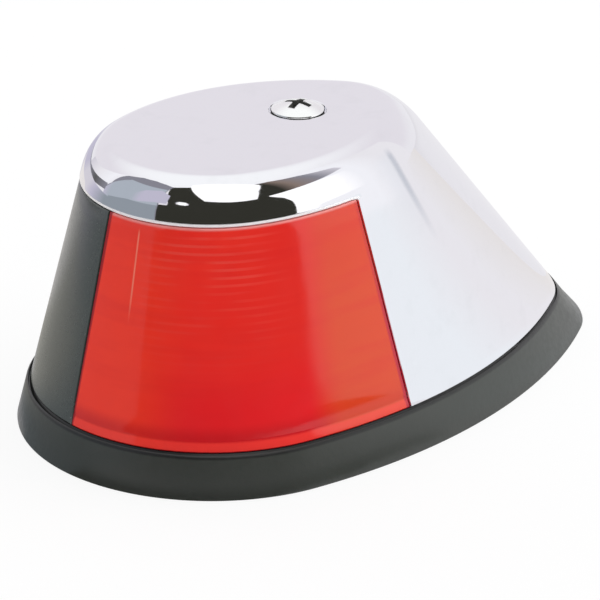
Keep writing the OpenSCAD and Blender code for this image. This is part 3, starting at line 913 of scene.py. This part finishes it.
def screw_finish():
    """Bright stainless steel, dark and matt down in the cross recess."""
    material = metal_finish("screw_finish", (0.93, 0.93, 0.92, 1), (0.86, 0.86, 0.85, 1),
                            0.10, 0.17, 1200.0)
    shader = next(x for x in material.node_tree.nodes if x.type == "BSDF_PRINCIPLED")
    colour = shader.inputs["Base Color"].links[0].from_socket
    rough = shader.inputs["Roughness"].links[0].from_socket
    n = Nodes(material.node_tree)
    x, y, z = n.axes(n.add("ShaderNodeTexCoord").outputs["Object"])
    x = n.maths("SUBTRACT", x, SCREW_X)
    squared = n.maths("MULTIPLY_ADD", x, x, n.times(y, y))
    crown = n.maths("MULTIPLY_ADD", squared, -CROWN_H / HEAD_R ** 2, SCREW_HIGH.z)
    under = n.maths("SUBTRACT", crown, z)
    recess_dark = n.times(n.blend(under, 0.06 * MM, 0.22 * MM), n.blend(under, 1.4 * MM, 1.3 * MM),
                   n.blend(squared, (2.7 * MM) ** 2, (2.5 * MM) ** 2))
    outside_recess = n.maths("SUBTRACT", 1.0, recess_dark)
    n.fill(shader, Metallic=outside_recess, Base_Color=n.mix(recess_dark, colour, (0.03, 0.03, 0.026, 1)),
           Roughness=n.maths("MULTIPLY_ADD", recess_dark, 0.75, n.times(outside_recess, rough)))
    return material


def glass_finish():
    """Thin blown glass with a trace of dust."""
    material, n, place, shader = finish("glass_finish", Transmission_Weight=1.0, IOR=1.45)
    film = n.blend(n.noise(place, 220.0, 5.0), 0.4, 0.8)
    clear = n.mix(film, (0.97, 0.98, 0.98, 1), (0.90, 0.91, 0.91, 1))
    n.fill(shader, Base_Color=clear, Roughness=n.times(film, 0.05))
    return material


CHROME = chrome_finish()
RED_LENS = red_lens_finish()
DARK_PLASTIC = dark_plastic_finish()
RUBBER = rubber_finish()
WHITE_PLASTIC = white_plastic_finish()
BRASS = metal_finish(
    "brass_finish", (0.83, 0.62, 0.30, 1), (0.75, 0.55, 0.26, 1), 0.18, 0.28, 900.0)
STAINLESS = metal_finish(
    "stainless_finish", (0.80, 0.80, 0.81, 1), (0.68, 0.68, 0.68, 1), 0.10, 0.20, 1200.0)
NICKEL = metal_finish(
    "nickel_finish", (0.78, 0.75, 0.69, 1), (0.62, 0.58, 0.52, 1), 0.12, 0.25, 900.0)
WIRE = metal_finish(
    "wire_finish", (0.42, 0.41, 0.40, 1), (0.28, 0.27, 0.26, 1), 0.25, 0.4, 900.0)
GLASS = glass_finish()


def dress(obj, material):
    """Gives a piece its material."""
    obj.data.materials.clear()
    obj.data.materials.append(material)


def dress_node(node, material):
    """Gives a CAD node that stays in view its material."""
    for material_slot in frame["nodes"][node].material_slots:
        material_slot.material = material


# ---------------- pieces

cover = build_cover()
dress(cover, CHROME)
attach(cover, "cover")
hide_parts("top_cover")

lens = build_pane("lens_pane", 1, True)
lens_flange = build_aft_flange("lens_aft_flange", 1)
for piece in (lens, lens_flange):
    dress(piece, RED_LENS)
    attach(piece, "cover")
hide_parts("red_lens")

screen = build_pane("screen_pane", -1, False)
screen_flange = build_aft_flange("screen_aft_flange", -1)
for piece in (screen, screen_flange):
    dress(piece, DARK_PLASTIC)
    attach(piece, "cover")
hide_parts("blanking_screen")

gasket = build_gasket()
dress(gasket, RUBBER)
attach(gasket, "base")
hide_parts("base_gasket")

screw = build_screw()
dress(screw, screw_finish())
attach(screw, "screw")
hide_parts("cover_screw")

washer = build_washer()
dress(washer, RUBBER)
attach(washer, "screw_carrier")
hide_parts("screw_seal")

for node_finish, node_names in (
    (WHITE_PLASTIC, ["base_plate"]),
    (RUBBER, ["cover_seal", "wire_grommet", "lens_seal", "nose_strip"]),
    (BRASS, ["screw_insert", "upper_clip", "lower_clip", "clip_rivets", "terminal_screws",
             "lens_retainer"]),
    (STAINLESS, ["screw_retainer"]),
    (GLASS, ["bulb_glass"]),
    (NICKEL, ["bulb_cap_upper", "bulb_cap_lower"]),
    (WIRE, ["bulb_filament", "filament_supports"])
):
    for node_name in node_names:
        dress_node(node_name, node_finish)


# ---------------- stage, light and camera

CENTRE = (CAD_BOUNDS[0] + CAD_BOUNDS[1]) / 2
CAMERA_HEADING = math.radians(48.35)
CAMERA_RISE = math.radians(23.44)
CAMERA_DISTANCE = 0.4889
CAMERA_TARGET = Vector((11.7 * MM, 0, 20.7 * MM))
CAMERA_SHIFT = (0.065, -0.0523)
LENS_LENGTH_MM = 194.9
LAMP_DISTANCE = 1.0
FLOOR_HALF = 4.0
FLOOR_GAP = 0.05 * MM        # the floor lies this far below zero, and flat cards this far above


def direction(heading, rise):
    """Unit vector at a heading from the bow towards port, and a rise over the deck."""
    return Vector((math.cos(rise) * math.cos(heading), math.cos(rise) * math.sin(heading),
                   math.sin(rise)))


def aim(obj, target):
    obj.rotation_euler = (target - obj.location).to_track_quat("-Z", "Y").to_euler()


def seen_by_eye_and_mirror(n):
    """1 for rays from the camera and from mirrors and glass, 0 for rays that carry light."""
    rays = n.add("ShaderNodeLightPath").outputs
    seen = n.maths("MAXIMUM", rays["Is Camera Ray"], rays["Is Glossy Ray"])
    return n.maths("MAXIMUM", seen, rays["Is Transmission Ray"])


def add_camera():
    data = bpy.data.cameras.new("camera")
    data.lens = LENS_LENGTH_MM
    data.sensor_width = 36
    data.shift_x, data.shift_y = CAMERA_SHIFT
    data.clip_start = 0.01
    camera = in_scene("camera", data)
    camera.location = CAMERA_TARGET + CAMERA_DISTANCE * direction(CAMERA_HEADING, CAMERA_RISE)
    aim(camera, CAMERA_TARGET)
    bpy.context.scene.camera = camera


def add_floor():
    """Plain white floor that keeps the object's shadow."""
    bm = bmesh.new()
    corners = [bm.verts.new((x * FLOOR_HALF, y * FLOOR_HALF, -FLOOR_GAP))
               for x, y in ((-1, -1), (1, -1), (1, 1), (-1, 1))]
    bm.faces.new(corners)
    floor = new_object("floor", bm)
    material, n = bare_material("floor_finish")
    glow_share = 0.88
    seen_tone, mirrored_tone = (1, 1, 1, 1), (0.87, 0.86, 0.89, 1)
    matt = n.fill(n.add("ShaderNodeBsdfDiffuse"), Color=(0.92, 0.92, 0.92, 1))
    eye = n.add("ShaderNodeLightPath").outputs["Is Camera Ray"]
    glow = n.fill(n.add("ShaderNodeEmission"), Color=n.mix(eye, mirrored_tone, seen_tone))
    mixed = n.add("ShaderNodeMixShader")
    n.put(n.times(seen_by_eye_and_mirror(n), glow_share), mixed.inputs[0])
    n.put(matt.outputs[0], mixed.inputs[1])
    n.put(glow.outputs[0], mixed.inputs[2])
    n.fill(n.add("ShaderNodeOutputMaterial"), Surface=mixed.outputs[0])
    floor.data.materials.append(material)


def add_world():
    """White studio. Mirrors see a pale backdrop with a brighter ceiling over it."""
    world = bpy.data.worlds.new("studio")
    bpy.context.scene.world = world
    world.use_nodes = True
    world.node_tree.nodes.clear()
    n = Nodes(world.node_tree)
    _, _, height = n.axes(n.add("ShaderNodeTexCoord").outputs["Generated"])
    horizon = (0.92, 0.915, 0.945, 1)
    backdrop = (0.865, 0.84, 0.885, 1)
    ceiling = (1.06, 1.08, 1.09, 1)
    room_light = (0.66, 0.66, 0.67, 1)
    white = (1, 1, 1, 1)
    sky = n.mix(n.blend(height, 0.02, 0.18), horizon, backdrop)
    sky = n.mix(n.blend(height, 0.42, 0.95), sky, ceiling)
    rays = n.add("ShaderNodeLightPath").outputs
    mirrored = n.maths("MAXIMUM", rays["Is Glossy Ray"], rays["Is Transmission Ray"])
    colour = n.mix(rays["Is Camera Ray"], n.mix(mirrored, room_light, sky), white)
    background = n.fill(n.add("ShaderNodeBackground"), Color=colour)
    n.fill(n.add("ShaderNodeOutputWorld"), Surface=background.outputs[0])


def card_finish(name):
    """Card that glows with the tones kept on its own corners."""
    material, n = bare_material(name)
    tone = n.add("ShaderNodeAttribute", attribute_name="tone")
    glow = n.fill(n.add("ShaderNodeEmission"), Color=tone.outputs["Color"])
    n.fill(n.add("ShaderNodeOutputMaterial"), Surface=glow.outputs[0])
    return material


def add_card(name, stations, distance=None):
    """Card that only mirrors see. A station is (heading, low edge, high edge, tone), in degrees.

    A card without a distance lies on the floor, and its edges are distances in metres.
    """
    steps, rungs = 8, 8
    bm = bmesh.new()
    tones = bm.verts.layers.float_color.new("tone")
    rows = [[] for _ in range(rungs + 1)]
    for a, b in zip(stations, stations[1:]):
        for i in range(steps + 1 if b is stations[-1] else steps):
            k = i / steps
            heading = math.radians(lerp(a[0], b[0], k))
            low, high = lerp(a[1], b[1], k), lerp(a[2], b[2], k)
            for j, row in enumerate(rows):
                reach = lerp(low, high, j / rungs)
                if distance is None:
                    p = reach * direction(heading, 0) + Vector((0, 0, FLOOR_GAP))
                else:
                    p = CENTRE + distance * direction(heading, math.radians(reach))
                vert = bm.verts.new(p)
                vert[tones] = (*(lerp(a[3][c], b[3][c], k) for c in range(3)), 1)
                row.append(vert)
    skin(bm, rows)
    mesh = bpy.data.meshes.new(name)
    bm.to_mesh(mesh)
    bm.free()
    mesh.materials.append(CARD)
    card = in_scene(name, mesh)
    for sense in ("camera", "diffuse", "transmission", "volume_scatter", "shadow"):
        setattr(card, "visible_" + sense, False)


def add_lamp(name, heading, rise, size, watts):
    """Soft square lamp aimed at the light's middle. Its angles are in degrees."""
    data = bpy.data.lights.new(name, "AREA")
    data.shape = "SQUARE"
    data.size = size
    data.energy = watts
    lamp = in_scene(name, data)
    lamp.location = CENTRE + LAMP_DISTANCE * direction(math.radians(heading), math.radians(rise))
    aim(lamp, CENTRE)
    lamp.visible_camera = False
    lamp.visible_glossy = False


add_camera()
add_floor()
add_world()
CARD = card_finish("card_finish")

# Tones of the cards, from dark to light
BLACK = (0.035, 0.035, 0.028)
DARK = (0.12, 0.12, 0.12)
BROWN = (0.27, 0.21, 0.18)
SHADE = (0.27, 0.27, 0.31)
DUSK = (0.31, 0.35, 0.39)
SLATE = (0.46, 0.51, 0.57)
LILAC = (0.58, 0.56, 0.68)
ASH = (0.64, 0.62, 0.57)
MIST = (0.72, 0.70, 0.76)
CREAM = (0.88, 0.85, 0.83)
PALE = (0.93, 0.92, 0.945)
BLUISH = (0.95, 0.99, 1.02)
BRIGHT = (1.02, 1.03, 1.06)
WHITE = (1.25, 1.25, 1.25)

# Dark room with its windows, from the bow to the port beam
add_card("dark_room", [(9, -2, 58, BLACK), (18, -2, 61, BLACK), (40, -2, 70, BLACK),
                       (85, -2, 70, BLACK), (100, -2, 60, BLACK), (110, -2, 57, BLACK)], 3.2)
add_card("dark_post", [(0, 51, 54, BLACK), (9, 24, 58, BLACK)], 3.2)
add_card("dark_low", [(0, -2, 18, BLACK), (9, -2, 20, BLACK)], 3.2)
add_card("dark_floor", [(2, 0.085, 3.6, BLACK), (60, 0.085, 3.6, BLACK),
                        (108, 0.075, 3.6, BLACK)])
# Painted shadow that only mirrors see: a black ring on the floor close round the foot
add_card("near_front_shadow", [(2, 0.046, 0.057, BLACK), (30, 0.046, 0.057, BLACK),
                        (60, 0.037, 0.050, BLACK), (92, 0.033, 0.040, BLACK)])
add_card("far_window", [(16, 66, 70, WHITE), (28, 50, 74, WHITE), (42, 34, 77, WHITE),
                        (67, 31, 77, WHITE), (92, 29, 71, WHITE), (98, 42, 67, WHITE),
                        (108, 54, 58, WHITE)], 3.0)
add_card("small_window", [(16, 25, 27, MIST), (19, 24, 29, WHITE), (25, 24, 29, WHITE),
                          (28, 25, 27, MIST)], 3.0)
# Grey walls and floor to starboard, on the camera's left
add_card("left_line", [(-108, -6, 0, SHADE), (-91, -5, 1, SHADE), (-74, -1, 6, DARK),
                       (-56, 4, 12, SHADE)], 2.9)
add_card("left_streak", [(-93, 1, 8, MIST), (-74, 5, 17, PALE), (-58, 10, 32, BRIGHT),
                         (-48, 10, 46, PALE)], 3.15)
add_card("left_edge", [(-57, -2, 8, SHADE), (-53, -2, 16, SHADE), (-52, -2, 39, SHADE),
                       (-44, -2, 51, SHADE), (-30, -2, 56, SHADE), (-12, -2, 56, SHADE),
                       (1, -2, 54, SHADE)], 3.1)
add_card("left_wall", [(-57, -2, 5, LILAC), (-50, -2, 22, SLATE), (-42, -2, 38, SLATE),
                       (-28, -2, 41, SLATE), (-12, -2, 44, SLATE), (0, -2, 46, SLATE)], 3.0)
add_card("left_low", [(-50, -2, 1, DUSK), (-30, -2, 10, DUSK), (0, -2, 16, DUSK)], 2.95)
add_card("left_curtain", [(-26, 12, 22, SLATE), (-18, 14, 34, LILAC), (-4, 20, 42, LILAC),
                          (8, 22, 36, LILAC)], 2.9)
add_card("left_floor", [(-122, 0.19, 3.6, PALE), (-110, 0.19, 3.6, LILAC),
                        (-96, 0.19, 3.6, LILAC), (-88, 0.19, 3.6, MIST),
                        (-76, 0.19, 3.6, MIST), (-68, 0.19, 3.6, LILAC),
                        (-52, 0.19, 3.6, DUSK), (2, 0.19, 3.6, DUSK)])
add_card("near_floor", [(-122, 0.05, 0.19, PALE), (-106, 0.05, 0.19, LILAC),
                        (-96, 0.05, 0.19, CREAM), (-76, 0.05, 0.19, CREAM),
                        (-66, 0.05, 0.19, ASH), (-44, 0.05, 0.19, ASH), (-28, 0.05, 0.19, DUSK),
                        (2, 0.05, 0.19, DUSK)])
# White walls and floor abaft the port beam, on the camera's right
add_card("right_beam", [(109, 30, 57, BLACK), (118, 30, 56, BROWN), (132, 30, 49, SHADE),
                        (147, 31, 37, MIST)], 3.0)
add_card("right_wall", [(99, 28.5, 30, WHITE), (105, 21, 30, WHITE), (108, 13, 30, WHITE),
                        (109, 1, 30, WHITE), (132, 1, 29, WHITE), (146, 1, 26, BRIGHT)], 2.9)
add_card("right_glow", [(110, -2, 60, BRIGHT), (150, -2, 48, BRIGHT), (165, -2, 38, PALE),
                        (180, -2, 25, PALE)], 3.3)
add_card("right_floor", [(108, 0.035, 3.6, BLUISH), (145, 0.04, 3.6, BLUISH),
                         (164, 0.05, 3.6, PALE), (170, 0.05, 3.6, PALE),
                         (185, 0.05, 3.6, CREAM)])
add_lamp("soft_overhead", heading=200, rise=62, size=1.0, watts=3.0)
add_lamp("soft_right", heading=138, rise=28, size=0.8, watts=4.4)
add_lamp("soft_left", heading=-95, rise=25, size=0.8, watts=1.8)

bpy.context.scene.view_settings.view_transform = "Standard"
